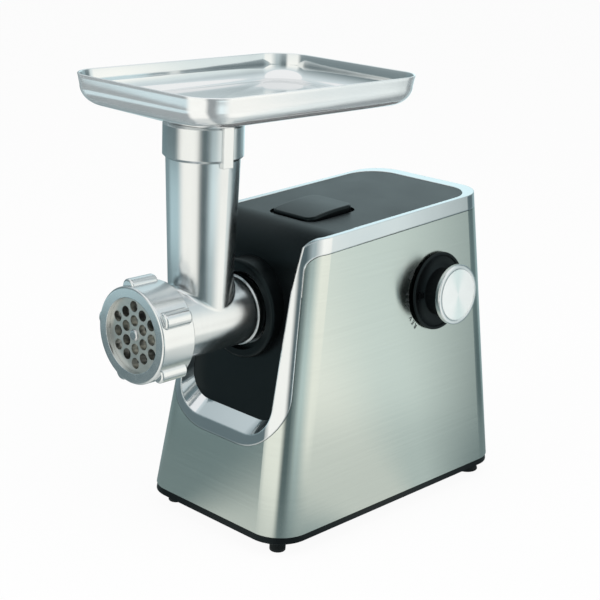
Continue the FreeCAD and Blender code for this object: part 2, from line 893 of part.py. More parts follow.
def gearbox_cover():
    w = gearbox_half
    y1 = gearbox_back + gearbox_plate
    plate = box(-w, w, gearbox_back, y1, motor_plate_low, gearbox_high)
    plate = plate.makeFillet(gearbox_round, edges_along(plate, V(0, 1, 0), lambda m: True))
    plate = plate.cut(cyl(out_shaft_r + gear_bush_wall, gearbox_back - 1, y1 + 1, 0, axis_z))
    plate = plate.cut(cyl(idler_shaft_r + run_fit, gearbox_back - 1, y1 + 1, 0, idler_z))
    plate = plate.cut(cyl(motor_shaft_r + gear_bush_wall, gearbox_back - 1, y1 + 1, 0, motor_z))
    for x, z in rod_places():
        plate = plate.cut(cyl(rod_r, gearbox_back - 1, y1 + 1, x, z))
    for x, z in gearbox_screw_places():
        plate = plate.cut(cyl(screw_r, gearbox_back - 1, y1 + 1, x, z))
    return plate


def gearbox_screws():
    screws = []
    y1 = gearbox_back + gearbox_plate
    for x, z in gearbox_screw_places():
        shank = cyl(screw_r, gearbox_back - 9, y1, x, z)
        head = cyl(screw_head_r, y1, y1 + screw_head_h, x, z)
        slot = box(x - 2.4, x + 2.4, y1 + screw_head_h - 1, y1 + screw_head_h, z - 0.5, z + 0.5)
        screws.append(shank.fuse(head).cut(slot))
    return Part.makeCompound(screws)


def shaft_bushes():
    """Bearing bushes of the output shaft and the motor shaft."""
    t = gear_bush_wall
    y1 = gearbox_back + gearbox_plate
    out_bore = out_shaft_r + run_fit
    motor_bore = motor_shaft_r + run_fit
    y2 = rear_frame_front
    bushes = [
        tube(out_shaft_r + t, out_bore, gearbox_front, gearbox_front + gear_wall + 2, 0, axis_z),
        tube(out_shaft_r + t, out_bore, gearbox_back, y1, 0, axis_z),
        tube(motor_shaft_r + t, motor_bore, gearbox_back, y1, 0, motor_z),
        tube(motor_shaft_r + t, motor_bore, y2, y2 + rear_frame_w, 0, motor_z),
    ]
    return Part.makeCompound(bushes)


def head_socket():
    """Ring behind the hub: a bore for the head's spigot and a groove for its three lugs."""
    y0 = socket_front
    y1 = gearbox_front
    ring = cyl(socket_r, y0, y1, 0, axis_z)
    ring = ring.cut(cyl(socket_bore, y0 - 1, barrel_step + 0.4, 0, axis_z))
    ring = ring.cut(cyl(spigot_r + run_fit, y0, y1 + 1, 0, axis_z))
    ring = ring.cut(cyl(groove_r, lug_front - 0.4, lug_back + 0.4, 0, axis_z))
    for k in range(lug_count):
        mid = lug_angle(k) - slot_turn
        entry = sector(groove_r, y0 - 1, lug_front, mid, lug_arc + 4.0)
        ring = ring.cut(entry)
    w = latch_w / 2 + latch_room
    slot = box(-w, w, latch_y - latch_room, latch_y + latch_t + latch_room, axis_z, axis_z + socket_r + 2)
    ring = ring.cut(slot)
    for x, z in socket_screw_places():
        ring = ring.cut(cyl(screw_r, y1 - 9, y1 + 1, x, z))
    return ring.removeSplitter()


def socket_screw_places():
    r = (groove_r + socket_r) / 2
    return [(r * cos(radians(a)), axis_z + r * sin(radians(a))) for a in (0, 180, 270)]


def lug_angle(k):
    return 30.0 + 360.0 * k / lug_count


def sector(r, y0, y1, mid, arc):
    """Pie slice along Y about the head's axis, mid angle from +X towards +Z in degrees."""
    slice_ = Part.makeCylinder(r, y1 - y0, V(0, 0, 0), V(0, 0, 1), arc)
    slice_.rotate(V(0, 0, 0), V(0, 0, 1), -mid - arc / 2)
    slice_.rotate(V(0, 0, 0), V(1, 0, 0), -90)
    slice_.translate(V(0, y0, axis_z))
    return slice_


def latch_spring():
    """Leaf on the gearbox's ridge: its tail lies under the button's stem, and pushing the tail
    down lifts the bent front end out of the head's notch."""
    w = latch_w / 2
    low = gearbox_high + latch_lift
    high = gearbox_high + ridge_h
    leaf = box(-w, w, latch_y, ridge_front, low, low + latch_t)
    leaf = leaf.fuse(box(-w, w, latch_y, latch_y + latch_t, latch_tip, low + latch_t))
    leaf = leaf.fuse(box(-w, w, ridge_front - latch_t, ridge_front, low, high + latch_t))
    leaf = leaf.fuse(box(-w, w, ridge_front - latch_t, gearbox_back, high, high + latch_t))
    return leaf.removeSplitter()


def head_casting():
    z = axis_z
    body = cyl(barrel_r, flare_back - 2, barrel_step, 0, z)
    body = body.fuse(cyl(thread_r, barrel_front, thread_back, 0, z))
    body = body.fuse(cone(thread_r, barrel_r, thread_back, flare_back, 0, z))
    feed = Part.makeCone(tube_low_r, tube_top_r, collar_top - collar_h - z - 12, V(0, tube_y, z + 12))
    body = body.fuse(feed)
    seam_edges = [e for e in body.Edges if is_joint_edge(e)]
    body = body.makeFillet(joint_fillet, seam_edges)
    body = body.fuse(cyl(rim_line_r, rim_line - rim_line_w, rim_line, 0, z))
    collar = Part.makeCylinder(collar_r, collar_h, V(0, tube_y, collar_top - collar_h))
    collar = collar.makeChamfer(collar_chamfer, [e for e in collar.Edges if e.BoundBox.ZMax < collar_top - 1])
    collar = collar.makeChamfer(collar_lead, [e for e in collar.Edges if e.BoundBox.ZMin > collar_top - 0.01])
    body = body.fuse(collar)
    for side in (-1, 1):
        reach = collar_r + key_proud
        key = box(-4, 4, -key_w / 2, key_w / 2, collar_top - collar_h - key_drop, collar_top)
        key.translate(V(side * (reach - 4), 0, 0))
        key.rotate(V(0, 0, 0), V(0, 0, 1), key_turn)
        key.translate(V(0, tube_y, 0))
        body = body.fuse(key)
    # spigot with three lugs, and a notch in its end for the latch
    body = body.fuse(cyl(spigot_r, barrel_step - 1, spigot_end, 0, z))
    for k in range(lug_count):
        body = body.fuse(sector(lug_r, lug_front, lug_back, lug_angle(k), lug_arc))
    body = body.cut(cyl(bore_r, barrel_front - 1, rear_wall_front, 0, z))
    body = body.cut(cyl(plate_r + plate_fit, barrel_front - 1, plate_front + plate_t, 0, z))
    body = body.cut(cyl(spigot_bore_r, barrel_step, spigot_end + 1, 0, z))
    body = body.cut(cyl(journal_r + bush_wall, rear_wall_front - 1, barrel_step + 1, 0, z))
    chute = Part.makeCone(tube_low_bore, tube_top_bore, collar_top - z, V(0, tube_y, z))
    body = body.cut(chute)
    body = body.cut(Part.makeCylinder(collar_bore, collar_h, V(0, tube_y, spout_low - 1.0)))
    w = latch_w / 2 + latch_room
    body = body.cut(box(-w, w, latch_y - latch_room, spigot_end + 1, z + spigot_bore_r - 4, z + spigot_r + 1))
    for side in (-1, 1):
        pin = cyl(plate_pin_r, plate_front + 1.0, plate_front + plate_t + 1, side * (plate_r - 0.6), z)
        body = body.fuse(pin)
    return body.removeSplitter()


def is_joint_edge(e):
    """The curves where the feed tube meets the barrel."""
    return isinstance(e.Curve, Part.BSplineCurve)


def head_bush():
    return tube(journal_r + bush_wall, journal_r + run_fit, rear_wall_front, barrel_step, 0, axis_z)


def knife_seat(y0, y1):
    """Square with rounded corners that turns the knife with the screw."""
    k = knife_square
    return box(-k, k, y0, y1, -k, k).common(cyl(knife_corner_r, y0 - 1, y1 + 1))


def auger():
    """Feed screw: a tapered core with one flight, a pin in front and a square shank behind."""
    core = cone(auger_core_front, auger_core_back, auger_front, auger_back)
    length = auger_back - auger_front - flight_w - 3.0
    helix = Part.makeHelix(auger_pitch, length, auger_core_front)
    r0 = auger_core_front - 4.0
    h = flight_w / 2
    tip = h - flight_taper
    outline = [V(r0, 0, -h), V(auger_r, 0, -tip), V(auger_r, 0, tip), V(r0, 0, h)]
    profile = Part.makePolygon(outline + outline[:1])
    flight = Part.Wire(helix).makePipeShell([profile], True, True)
    flight.rotate(V(0, 0, 0), V(1, 0, 0), -90)
    flight.translate(V(0, auger_front + h + 2.0, 0))
    screw = core.fuse(flight)
    pin = cyl(auger_pin_r, auger_pin_end, auger_front + 1)
    tip_edge = [e for e in pin.Edges if e.BoundBox.YMax < auger_pin_end + 0.01]
    screw = screw.fuse(pin.makeFillet(auger_pin_round, tip_edge))
    screw = screw.fuse(knife_seat(auger_front - knife_t, auger_front + 1))
    screw = screw.fuse(cyl(journal_r, auger_back - 1, barrel_step + 1.5))
    s = shank_half
    screw = screw.fuse(box(-s, s, barrel_step, gearbox_front - 2.6, -s, s))
    screw.translate(V(0, 0, axis_z))
    return screw.removeSplitter()


def knife():
    """Four blades on the screw's square."""
    y1 = auger_front
    y0 = y1 - knife_t
    hub = cyl(10.5, y0, y1)
    blades = hub
    for k in range(4):
        outline = [V(0, y0, -4), V(knife_r, y0, -4.5), V(knife_r, y0, 1), V(0, y0, 5)]
        blade = Part.Face(Part.makePolygon(outline + outline[:1]))
        blade = blade.extrude(V(0, knife_t - 1.0, 0)).common(cyl(knife_r, y0, y1))
        blade.rotate(V(0, 0, 0), V(0, 1, 0), 90 * k)
        blades = blades.fuse(blade)
    blades = blades.cut(knife_seat(y0 - 1, y1 + 1))
    blades.translate(V(0, 0, axis_z))
    return blades.removeSplitter()


def cutting_plate():
    z = axis_z
    y0 = plate_front
    y1 = plate_front + plate_t - 0.1
    plate = cyl(plate_r, y0, y1, 0, z).cut(cyl(plate_bore_r, y0 - 1, y1 + 1, 0, z))
    for q in range(-2, 3):
        for r in range(-2, 3):
            ring = max(abs(q), abs(r), abs(q + r))
            if ring == 0 or ring > 2:
                continue
            a = radians(plate_turn)
            u = plate_pitch * (q + r / 2)
            v = plate_pitch * r * sqrt(0.75)
            x = u * cos(a) - v * sin(a)
            up = u * sin(a) + v * cos(a)
            plate = plate.cut(cyl(plate_hole_r, y0 - 1, y1 + 1, x, z + up))
    for side in (-1, 1):
        w = plate_pin_r + 0.3
        plate = plate.cut(box(side * plate_r - 2.6, side * plate_r + 2.6, y0 - 1, y1 + 1, z - w, z + w))
    return plate


def ring_nut():
    z = axis_z
    nut = cyl(nut_r, nut_front, nut_back, 0, z)
    front = [e for e in nut.Edges if abs(e.BoundBox.Center.y - nut_front) < 0.01]
    nut = nut.makeFillet(1.6, front)
    for k in range(lobe_count):
        a = radians(lobe_first + 360.0 * k / lobe_count)
        rib = cyl(lobe_r, lobe_front, lobe_back, lobe_at * cos(a), z + lobe_at * sin(a))
        ends = [e for e in rib.Edges if e.BoundBox.YLength < 0.01]
        nut = nut.fuse(rib.makeFillet(1.8, ends))
    nut = nut.cut(cyl(nut_open_r, nut_front - 1, nut_back + 1, 0, z))
    return nut.cut(cyl(thread_r + nut_thread_gap, plate_front - nut_lip_gap, nut_back + 1, 0, z))


def pan(shrink):
    """Outer or inner form of the tray: leaning walls that bend into a bottom sloping to the throat."""
    rings = []
    for k in range(2):
        rings.append((tray_wall_in * k, -tray_wall_h * k, 0.0))
    for k in range(1, tray_bend_steps + 1):
        a = tray_bend_deg * k / tray_bend_steps
        inset = tray_wall_in + tray_bend * (1 - cos(radians(a)))
        rings.append((inset, -tray_wall_h - tray_bend * sin(radians(a)), a))
    wires = []
    for inset, drop, a in rings:
        d = inset + shrink * cos(radians(a))
        z = tray_rim + drop + shrink * sin(radians(a))
        wires.append(round_rect(tray_half - d, tray_front + d, tray_back - d, tray_corner - d / 2, z))
    t = spout_r + 3.0
    throat = (t, tube_y - t, tube_y + t, t - 0.5, tray_throat_z + shrink)
    wires.append(round_rect(*throat))
    return Part.makeLoft(wires, True, True)


def tray():
    spout = Part.makeCylinder(spout_r, tray_throat_z - spout_low + tray_t, V(0, tube_y, spout_low))
    bore = Part.makeCylinder(spout_r - tray_t, big, V(0, tube_y, spout_low - 1))
    return pan(0.0).fuse(spout).cut(pan(tray_t)).cut(bore).removeSplitter()


def knob_dish():
    """Black flared dish and neck of the knob, with a raised pointer towards the front."""
    bore_end = cap_low - 3.0
    lip = skirt_wall / 2
    rim_low = skirt_rim - lip
    foot = [V(knob_shaft_r, 0, bore_end), V(knob_shaft_r, 0, skirt_low), V(skirt_low_r, 0, skirt_low)]
    foot.append(V(skirt_r, 0, rim_low))
    neck = [V(neck_r, 0, bowl_end), V(neck_r, 0, cap_low), V(0, 0, cap_low), V(0, 0, bore_end), foot[0]]
    inner = V(dish_r, 0, rim_low)
    edges = Part.makePolygon(foot).Edges
    edges.append(Part.Arc(foot[3], V(skirt_r - lip, 0, skirt_rim), inner).toShape())
    edges.append(Part.Arc(inner, V(bowl_r, 0, bowl_low), neck[0]).toShape())
    edges += Part.makePolygon(neck).Edges
    body = Part.Face(Part.Wire(edges)).revolve(V(0, 0, 0), V(0, 0, 1), 360)
    corner = V(neck_r - 0.5, -pointer_w / 2, bowl_low - 0.5)
    pointer = Part.makeBox(pointer_out - neck_r + 0.5, pointer_w, pointer_h, corner)
    pointer.rotate(V(0, 0, 0), V(0, 0, 1), -90)
    return on_side(body.fuse(pointer).removeSplitter())


def knob_cap():
    """Bright cap on the knob's neck."""
    cap = Part.makeCylinder(cap_r, cap_top - cap_low, V(0, 0, cap_low))
    cap = cap.makeFillet(cap_round, [e for e in cap.Edges if abs(e.BoundBox.ZMin - cap_top) < 0.01])
    groove = Part.makeCylinder(cap_disc_r, 2, V(0, 0, cap_top - 0.5))
    return on_side(cap.cut(groove))


def knob_disc():
    """Spun disc set into the cap."""
    disc = Part.makeCylinder(cap_disc_r - cap_groove, 0.5, V(0, 0, cap_top - 0.5))
    return on_side(disc)


def knob_shaft():
    deep = skin + switch_deep
    return on_side(Part.makeCylinder(knob_shaft_r, deep - 4.0 + cap_low - 3.0, V(0, 0, -deep + 4.0)))


def rotary_switch():
    w = switch_half
    z1 = -skin - 0.2
    body = Part.makeBox(2 * w, 2 * w, switch_deep, V(-w, -w, z1 - switch_deep))
    body = body.fuse(Part.makeCylinder(switch_bush_r, 1.0 - z1, V(0, 0, z1 - 0.5)))
    body = body.cut(Part.makeCylinder(knob_shaft_r + run_fit, 40, V(0, 0, z1 - switch_deep + 2.0)))
    for i in range(3):
        tab = Part.makeBox(6.0, 0.8, 8.0, V(-3.0, (i - 1) * 9.0, z1 - switch_deep - 7.0))
        body = body.fuse(tab)
    return on_side(body)


def rod_places():
    return [(x, motor_z + up) for x in (-rod_at, rod_at) for up in (-rod_at, rod_at)]


def motor_stator():
    w = stack_half
    stack = box(-w, w, stack_front, stack_back, motor_z - w, motor_z + w)
    stack = stack.makeFillet(9.0, edges_along(stack, V(0, 1, 0), lambda m: True))
    stack = stack.cut(cyl(pole_bore, stack_front - 1, stack_back + 1, 0, motor_z))
    for side in (-1, 1):
        gap = box(-7.0, 7.0, stack_front - 1, stack_back + 1, 0, coil_out - 5.0)
        gap.rotate(V(0, 0, 0), V(0, 1, 0), 90 * side)
        gap.translate(V(0, 0, motor_z))
        stack = stack.cut(gap)
    for x, z in rod_places():
        stack = stack.cut(cyl(rod_r, stack_front - 1, stack_back + 1, x, z))
    return stack


def field_coils():
    coils = []
    for mid in (90.0, 270.0):
        for y0, y1 in ((stack_front - coil_front_w, stack_front), (stack_back, stack_back + coil_back_w)):
            arc = sector(coil_out, y0, y1, mid, coil_span).cut(cyl(coil_in, y0 - 1, y1 + 1, 0, axis_z))
            arc.translate(V(0, 0, motor_z - axis_z))
            coils.append(arc)
    return Part.makeCompound(coils)


def motor_rods():
    rods = []
    y1 = rear_frame_front + rear_frame_w
    for x, z in rod_places():
        rod = cyl(rod_r, gearbox_back, y1 + 4, x, z)
        rods.append(rod.fuse(cyl(rod_r + 2, y1, y1 + 3, x, z)))
    return Part.makeCompound(rods)


def motor_spacers():
    rings = []
    for x, z in rod_places():
        rings.append(tube(spacer_r, rod_r, gearbox_back + gearbox_plate, stack_front, x, z))
        rings.append(tube(spacer_r, rod_r, stack_back, rear_frame_front, x, z))
    return Part.makeCompound(rings)


def motor_rear_frame():
    y0 = rear_frame_front
    y1 = y0 + rear_frame_w
    w = stack_half
    frame = box(-w, w, y0, y1, motor_z - w, motor_z + w)
    frame = frame.makeFillet(9.0, edges_along(frame, V(0, 1, 0), lambda m: True))
    frame = frame.cut(cyl(motor_shaft_r + gear_bush_wall, y0 - 1, y1 + 1, 0, motor_z))
    for x, z in rod_places():
        frame = frame.cut(cyl(rod_r, y0 - 1, y1 + 1, x, z))
    for k in range(4):
        hole = sector(29.0, y0 - 1, y1 + 1, 45.0 + 90.0 * k, 50.0)
        hole.translate(V(0, 0, motor_z - axis_z))
        frame = frame.cut(hole.cut(cyl(14.0, y0 - 2, y1 + 2, 0, motor_z)))
    return frame


def armature():
    r = pole_bore - air_gap
    core = cyl(r, stack_front, stack_back, 0, motor_z)
    for k in range(12):
        a = 2 * pi * k / 12
        slot = cyl(2.2, stack_front - 1, stack_back + 1, (r - 1.2) * cos(a), motor_z + (r - 1.2) * sin(a))
        core = core.cut(slot)
    return core.cut(cyl(motor_shaft_r, stack_front - 1, stack_back + 1, 0, motor_z))


def armature_windings():
    ends = []
    for y0, y1 in ((stack_front - winding_w, stack_front), (stack_back, stack_back + winding_w)):
        ends.append(tube(winding_r, motor_shaft_r, y0, y1, 0, motor_z))
    return Part.makeCompound(ends)


def commutator():
    drum = tube(commutator_r, motor_shaft_r, commutator_front, commutator_back, 0, motor_z)
    for k in range(12):
        bar = box(commutator_r - 1.0, commutator_r + 1, commutator_front - 1, commutator_back - 2, -0.3, 0.3)
        bar.rotate(V(0, 0, 0), V(0, 1, 0), 30 * k + 15)
        bar.translate(V(0, 0, motor_z))
        drum = drum.cut(bar)
    return drum


def brush_bar(x0, x1, grow, y1):
    """Bar along X at the height of the brushes, larger than a brush by grow, back to y1."""
    y0 = (commutator_front + commutator_back) / 2 - brush_half_y - grow
    z0 = motor_z - brush_half_z - grow
    return box(x0, x1, y0, y1, z0, z0 + 2 * (brush_half_z + grow))


def both_sides(piece):
    return Part.makeCompound([piece, piece.mirror(V(0, 0, 0), V(1, 0, 0))])


def carbon_brushes():
    y1 = (commutator_front + commutator_back) / 2 + brush_half_y
    ring = cyl(commutator_r + brush_gap, commutator_front - 5, commutator_back + 5, 0, motor_z)
    return both_sides(brush_bar(0, brush_end, 0.0, y1).cut(ring))


def brush_holders():
    x0 = commutator_r + 2.5
    y1 = (commutator_front + commutator_back) / 2 + brush_half_y
    shell = brush_bar(x0, holder_end, holder_wall, rear_frame_front)
    return both_sides(shell.cut(brush_bar(x0 - 1, brush_end + 3, 0.0, y1)))


def cooling_fan():
    y0 = fan_front
    y1 = fan_front + fan_w
    fan = cyl(fan_r, y1 - 1.6, y1).fuse(cyl(9.0, y0, y1))
    for k in range(fan_blades):
        blade = box(8.0, fan_r - 1.0, y0 + 1.0, y1 - 1.0, -0.7, 0.7)
        blade.rotate(V(0, 0, 0), V(0, 1, 0), 360.0 * k / fan_blades)
        fan = fan.fuse(blade)
    fan = fan.cut(cyl(motor_shaft_r, y0 - 1, y1 + 1))
    fan.translate(V(0, 0, motor_z))
    return fan.removeSplitter()


def circuit_board():
    return box(-board_half, board_half, board_front, board_back, board_z, board_z + board_t)


def board_parts():
    z0 = board_z + board_t
    mid = (board_front + board_back) / 2
    can = post(capacitor_r, z0, z0 + capacitor_h, -24, mid)
    can = can.makeFillet(1.0, [e for e in can.Edges if e.BoundBox.ZMin > z0 + 1])
    choke = post(choke_r, z0, z0 + 8.0, 4, mid).cut(post(4.0, z0, z0 + 8.0, 4, mid))
    relay = box(20, 36, mid - 8, mid + 8, z0, z0 + 14.0)
    return Part.makeCompound([can, choke, relay])


def cord_inlet():
    t = inlet_flange_w
    sleeve = Part.makeCylinder(inlet_r, skin + 2 * t, V(0, 0, -skin - t))
    outer = Part.makeCylinder(inlet_flange_r, t, V(0, 0, 0))
    outer = outer.makeFillet(1.0, [e for e in outer.Edges if e.BoundBox.ZMin > t - 0.1])
    inner = Part.makeCylinder(inlet_r + 1.5, t - 0.3, V(0, 0, -skin - t))
    ring = sleeve.fuse(outer).fuse(inner)
    return on_back(ring.cut(Part.makeCylinder(inlet_hole_r, 40, V(0, 0, -20))))


makers = [
    base_plate, front_feet, rear_feet, base_screws, steel_wrap, chrome_frame, cover, release_button,
    button_spring, latch_spring, head_socket, gearbox_housing, gearbox_cover, gearbox_screws,
    shaft_bushes, output_shaft, output_gear, idler_pinion, idler_gear, rotor_shaft, armature,
    armature_windings, commutator, cooling_fan, motor_stator, field_coils, motor_rods, motor_spacers,
    motor_rear_frame, brush_holders, carbon_brushes, motor_cradle, rotary_switch, knob_shaft,
    knob_dish, knob_cap, knob_disc, circuit_board, board_parts, cord_inlet, head_casting, head_bush,
    auger, knife, cutting_plate, ring_nut, tray,
]

shapes = {}
for make in makers:
    shapes[make.__name__] = make()

# centre the whole over its footprint
whole = Part.makeCompound(list(shapes.values())).optimalBoundingBox(False)
shift = V(-whole.Center.x, -whole.Center.y, -whole.ZMin)
os.makedirs("parts", exist_ok=True)
for name, shape in shapes.items():
    moved = shape.copy()
    moved.translate(shift)
    print(name, "solids", len(moved.Solids), "volume", round(moved.Volume), "valid", moved.isValid())
    moved.exportStep("parts/" + name + ".step")
print("shift", shift, "size", whole.XLength, whole.YLength, whole.ZLength)
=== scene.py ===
# %% [markdown]
# # Electric meat grinder
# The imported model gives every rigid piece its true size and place, in metres.
# This file gives each piece its finish, adds the small details that only the eye
# needs, and sets up a bright studio round it.

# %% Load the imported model
import json
import math
import bmesh
import bpy
from mathutils import Matrix, Vector


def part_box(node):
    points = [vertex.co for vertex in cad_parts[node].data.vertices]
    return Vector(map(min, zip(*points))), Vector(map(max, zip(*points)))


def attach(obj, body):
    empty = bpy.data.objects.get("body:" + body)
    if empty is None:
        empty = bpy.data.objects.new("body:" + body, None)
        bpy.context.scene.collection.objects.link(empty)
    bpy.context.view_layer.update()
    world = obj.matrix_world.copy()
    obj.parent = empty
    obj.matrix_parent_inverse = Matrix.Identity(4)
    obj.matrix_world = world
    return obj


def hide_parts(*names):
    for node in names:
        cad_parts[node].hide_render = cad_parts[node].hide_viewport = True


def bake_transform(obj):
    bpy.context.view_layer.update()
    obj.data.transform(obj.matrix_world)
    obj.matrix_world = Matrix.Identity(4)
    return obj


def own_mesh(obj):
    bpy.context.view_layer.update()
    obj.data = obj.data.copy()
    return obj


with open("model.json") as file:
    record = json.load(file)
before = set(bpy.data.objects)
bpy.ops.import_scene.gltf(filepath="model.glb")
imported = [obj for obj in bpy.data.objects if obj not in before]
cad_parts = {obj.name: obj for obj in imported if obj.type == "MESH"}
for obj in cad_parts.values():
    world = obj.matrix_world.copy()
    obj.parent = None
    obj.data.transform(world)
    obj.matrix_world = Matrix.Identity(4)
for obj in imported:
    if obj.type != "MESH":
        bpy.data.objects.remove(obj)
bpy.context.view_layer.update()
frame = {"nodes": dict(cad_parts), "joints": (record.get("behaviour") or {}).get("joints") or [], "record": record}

nodes = frame["nodes"]
print("pieces in the packed model:", len(nodes))

# %% [markdown]
# ## Camera
# The eye stands to the right of the head and a little above it, with a long lens, so
# upright edges stay nearly parallel. A Track To constraint could aim the camera, but the
# picture is also turned by a few degrees, which makes the machine lean slightly in the
# frame. So the camera's three axes are worked out from two points and that turn.

# %% Camera
joints = {joint["name"]: joint for joint in frame["joints"]}
HEAD = Vector(joints["head_twist"]["pos_m"])
EYE = HEAD + Vector((0.76379, -0.74856, 0.33542))
LOOK_AT = HEAD + Vector((-0.04423, 0.10798, -0.02665))
ROLL = 0.043
SENSOR_MM = 36.0
LENS_MM = 84.92


def place_camera():
    ahead = (LOOK_AT - EYE).normalized()
    right = ahead.cross(Vector((0, 0, 1))).normalized()
    up = right.cross(ahead)
    rolled_right = right * math.cos(ROLL) + up * math.sin(ROLL)
    rolled_up = up * math.cos(ROLL) - right * math.sin(ROLL)
    data = bpy.data.cameras.new("camera")
    data.sensor_width = SENSOR_MM
    data.lens = LENS_MM
    camera = bpy.data.objects.new("camera", data)
    turn = Matrix((rolled_right, rolled_up, -ahead)).transposed().to_4x4()
    camera.matrix_world = Matrix.Translation(EYE) @ turn
    bpy.context.collection.objects.link(camera)
    bpy.context.scene.camera = camera


place_camera()
print("camera stands", round((LOOK_AT - EYE).length, 3), "m from the machine")

# %% [markdown]
# ## Shader maths
# A finish is mostly arithmetic on textures. Nodes could be added and linked one by one,
# which is long and hard to read. Wrapping a node's output in a small class lets the
# arithmetic be written as ordinary sums and products, and every operator adds the Math
# node that does it.


# %% Wire, a node's output with operators
class Wire:
    """One output socket of a shader node."""

    def __init__(self, socket):
        self.socket = socket
        self.tree = socket.id_data

    def node(self, kind, settings=None, values=None, out=0):
        """Adds a node of any kind: its settings first, then what goes into its sockets."""
        return add_node(self.tree, kind, settings, values, out)

    def math(self, operation, first, second):
        return self.node("ShaderNodeMath", {"operation": operation}, {0: first, 1: second})

    def __add__(self, other):
        return self.math("ADD", self, other)

    def __sub__(self, other):
        return self.math("SUBTRACT", self, other)

    def __rsub__(self, other):
        return self.math("SUBTRACT", other, self)

    def __mul__(self, other):
        return self.math("MULTIPLY", self, other)

    def __pow__(self, other):
        return self.math("POWER", self, other)

    def clamped(self):
        return self.node("ShaderNodeClamp", {}, {0: self})

    __radd__ = __add__
    __rmul__ = __mul__


def add_node(tree, kind, settings=None, values=None, out=0):
    node = tree.nodes.new(kind)
    for name, value in (settings or {}).items():
        if name == "stops":
            ramp = node.color_ramp
            while len(ramp.elements) < len(value):
                ramp.elements.new(1.0)
            for element, (place, colour) in zip(ramp.elements, value):
                element.position = place
                element.color = (*colour, 1.0)
        else:
            setattr(node, name, value)
    for key, value in (values or {}).items():
        if isinstance(value, Wire):
            tree.links.new(value.socket, node.inputs[key])
        else:
            node.inputs[key].default_value = value
    return Wire(node.outputs[out]) if node.outputs else None


# %% [markdown]
# ## Building blocks of a finish
# Every finish starts from the place of a point on the machine. Pictures of metal could be
# mapped on, but they need unwrapped meshes and show seams. A noise texture needs neither:
# stretching the place before it turns round blotches into brushing lines, and a Bump node
# turns its brightness into relief.


# %% Helpers for finishes
BEVEL_SAMPLES = 6


def new_finish(name):
    """An empty material, and the place of each point in metres."""
    material = bpy.data.materials.new(name)
    material.use_nodes = True
    material.node_tree.nodes.clear()
    return material, add_node(material.node_tree, "ShaderNodeTexCoord", out="Object")


def vector_math(operation, first, second, out=0):
    return first.node("ShaderNodeVectorMath", {"operation": operation}, {0: first, 1: second}, out)


def stretched(place, scale):
    return vector_math("MULTIPLY", place, scale)


def along(vector, axis):
    """How far a vector goes along an axis."""
    return vector_math("DOT_PRODUCT", vector, axis, "Value")


def noise(place, scale, detail=3.0):
    """Noise from 0 to 1, with its own scale along each axis, in waves per metre."""
    values = {"Vector": stretched(place, scale), "Scale": 1.0, "Detail": detail}
    return place.node("ShaderNodeTexNoise", {}, values)


def ramp(value, stops):
    return value.node("ShaderNodeValToRGB", {"stops": stops}, {0: value})


def spread(value, low, high):
    """Takes 0 to 1 onto low to high."""
    return value * (high - low) + low


def mixed(share, first, second):
    """A colour between two colours or wires, by a value from 0 to 1."""
    settings = {"data_type": "RGBA", "clamp_factor": True}
    return share.node("ShaderNodeMix", settings, {"Factor": share, 6: first, 7: second}, 2)


def tinted(value, dark, light):
    return mixed(value, (*dark, 1.0), (*light, 1.0))


def relief(height, depth, strength=1.0, edge=0.0):
    """Bumps the surface; with an edge radius, sharp edges also shade as if rounded."""
    values = {"Height": height, "Distance": depth, "Strength": strength}
    if edge:
        settings = {"samples": BEVEL_SAMPLES}
        values["Normal"] = height.node("ShaderNodeBevel", settings, {"Radius": edge}, "Normal")
    return height.node("ShaderNodeBump", {}, values, "Normal")


def surface(place, sockets):
    """Closes a finish with one Principled shader."""
    shader = place.node("ShaderNodeBsdfPrincipled", {}, sockets)
    place.node("ShaderNodeOutputMaterial", {}, {"Surface": shader})


# %% [markdown]
# ## Metal finishes
# The body's skin is stainless sheet, brushed level all the way round. Brushing lines are
# far finer than a pixel, so most of the effect comes from anisotropic roughness, which
# draws a highlight out across the lines. A stretched noise adds the few coarse lines
# that the eye picks out.


# %% Brushed steel of the skin
def brushed_steel():
    material, place = new_finish("brushed_steel")
    fine = noise(place, (14, 14, 6400), 2.0)
    coarse = noise(place, (5, 5, 900), 4.0)
    lines = fine * 0.5 + coarse * 0.5
    surface(place, {
        "Base Color": tinted(lines, (0.61, 0.65, 0.61), (0.72, 0.765, 0.715)),
        "Metallic": 1.0,
        "Roughness": spread(lines, 0.15, 0.23),
        "Anisotropic": 0.9,
        "Anisotropic Rotation": 0.25,
        "Normal": relief(lines, 0.00003, 0.22),
    })
    return material


# %% [markdown]
# The frame round the window and the knob's rim are plated plastic, almost a mirror. Their
# edges are rounded on the real thing. Bevels could be modelled, but the shader's Bevel node
# rounds the shading alone, and that is what catches the light.


# %% Bright plating of the frame and the knob's rim
def bright_plating():
    material, place = new_finish("bright_plating")
    smudge = noise(place, (30, 30, 30), 4.0)
    surface(place, {
        "Base Color": tinted(smudge, (0.74, 0.77, 0.79), (0.80, 0.82, 0.83)),
        "Metallic": 1.0,
        "Roughness": spread(smudge, 0.05, 0.13),
        "Normal": relief(smudge, 0.0004, 0.2, 0.0016),
    })
    return material


# %% [markdown]
# The grinding head is cast and then polished by hand, so it is softer than plating: fine
# polishing lines and a cloudy sheen. Two noises, one stretched and one round, are added up,
# because either alone looks too regular.


# %% Polished casting of the grinding head
def polished_casting(name, grain, light):
    material, place = new_finish(name)
    lines = noise(place, grain, 3.0)
    cloud = noise(place, (45, 45, 45), 3.0)
    both = lines * 0.5 + cloud * 0.5
    surface(place, {
        "Base Color": tinted(both, tuple(0.86 * c for c in light), light),
        "Metallic": 1.0,
        "Roughness": spread(both, 0.13, 0.30),
        "Normal": relief(both, 0.0002, 0.25, 0.0007),
    })
    return material


